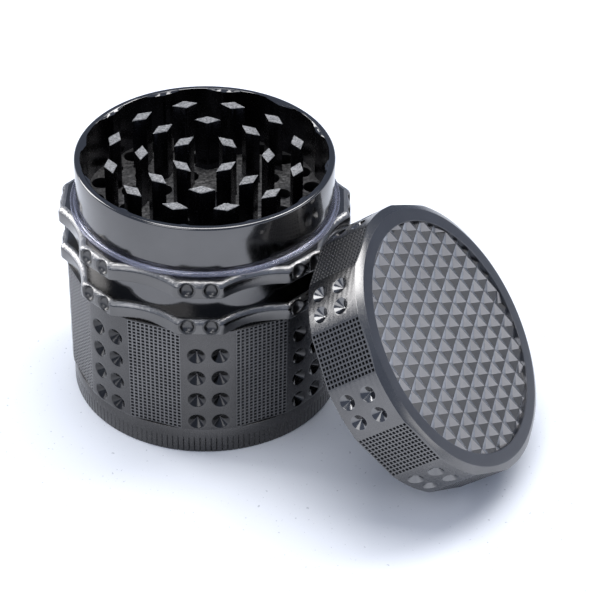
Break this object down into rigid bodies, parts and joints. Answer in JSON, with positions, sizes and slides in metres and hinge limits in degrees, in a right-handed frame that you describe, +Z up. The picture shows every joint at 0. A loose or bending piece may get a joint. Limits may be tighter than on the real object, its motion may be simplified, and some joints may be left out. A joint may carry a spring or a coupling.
{
  "type": "four-piece hand grinder",
  "caption": "Metal hand grinder with toothed tier, lobed flanges, knurled and dimpled storage body, screened base cup and a magnetic lid leaning alongside.",
  "frame": {"origin": "centre of the base cup's rest face, on the body's axis", "axes": "+Z up along the body's axis; the lid leans on the body towards +X and a little towards -Y"},
  "size_m": [0.1018, 0.0895, 0.057],
  "materials": {
    "base_metal": "dark gunmetal plating, satin",
    "body_metal": "dark gunmetal plating, satin with knurled flats",
    "tier_metal": "dark gunmetal plating, polished outside, rough as cast on the chamber floor",
    "lid_metal": "dark gunmetal plating, satin",
    "screen_wire": "fine woven wire",
    "ring_metal": "satin",
    "magnet": "nickel plated",
    "slip_plastic": "translucent, slippery"
  },
  "bodies": {
    "base": {"base_cup": "base_metal"},
    "screen": {"screen_mesh": "screen_wire", "screen_ring": "ring_metal"},
    "storage": {"storage_body": "body_metal"},
    "tier_carrier": {"tier_magnet": "magnet", "friction_ring": "slip_plastic"},
    "tier": {"grinding_tier": "tier_metal"},
    "lid_carrier": {"lid_magnet": "magnet"},
    "lid": {"lid_shell": "lid_metal"}
  },
  "joints": [
    {"name": "storage_rise", "type": "slide", "parent": "base", "child": "screen", "axis": [0, 0, 1], "range_m": [0, 0.003]},
    {"name": "storage_unscrew", "type": "hinge", "parent": "screen", "child": "storage", "pos_m": [0, 0, 0.02], "axis": [0, 0, 1], "range_deg": [0, 720]},
    {"name": "tier_rise", "type": "slide", "parent": "storage", "child": "tier_carrier", "axis": [0, 0, 1], "range_m": [0, 0.003]},
    {"name": "tier_unscrew", "type": "hinge", "parent": "tier_carrier", "child": "tier", "pos_m": [0, 0, 0.045], "axis": [0, 0, 1], "range_deg": [0, 720]},
    {"name": "lid_lift", "type": "slide", "parent": "tier", "child": "lid_carrier", "axis": [0.7185, -0.2861, 0.6339], "range_m": [0, 0.04]},
    {"name": "lid_spin", "type": "hinge", "parent": "lid_carrier", "child": "lid", "pos_m": [0.05061, -0.03034, 0.03156], "axis": [0.7185, -0.2861, 0.6339], "continuous": true}
  ],
  "couplings": [
    {"joint": "storage_rise", "follows": "storage_unscrew", "m_per_rad": 0.00023872},
    {"joint": "tier_rise", "follows": "tier_unscrew", "m_per_rad": 0.00023872}
  ]
}
